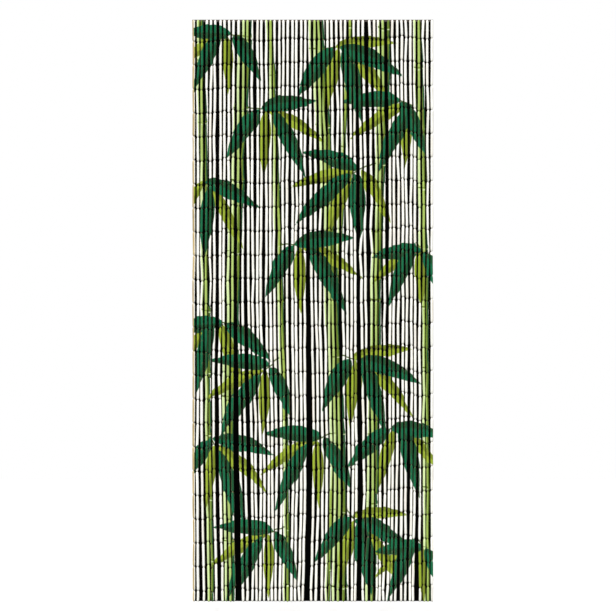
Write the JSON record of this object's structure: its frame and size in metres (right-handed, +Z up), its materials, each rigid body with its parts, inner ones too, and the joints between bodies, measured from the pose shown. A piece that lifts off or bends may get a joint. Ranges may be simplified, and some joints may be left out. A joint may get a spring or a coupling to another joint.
{
  "type": "bamboo door curtain",
  "caption": "Door curtain of hanging bamboo tube strands linked by wire eyes, on a slim heading strip, its front painted with green canes and leaves.",
  "frame": {"origin": "middle of the heading strip's top face, the edge that the curtain hangs by", "axes": "+Z up along the strands, +X to the right across the curtain seen from the painted front, +Y to the back, so the painted front faces -Y"},
  "size_m": [0.91, 0.0156, 2.2],
  "materials": {
    "bamboo": "natural bamboo tube, its front brushed with matt off-white and green paint, its back bare and satin",
    "link_wire": "dull galvanised wire, slightly darkened",
    "heading_wood": "dark stained satin wood"
  },
  "bodies": {
    "root": {"strand_curtain": "bamboo"}
  },
  "joints": []
}
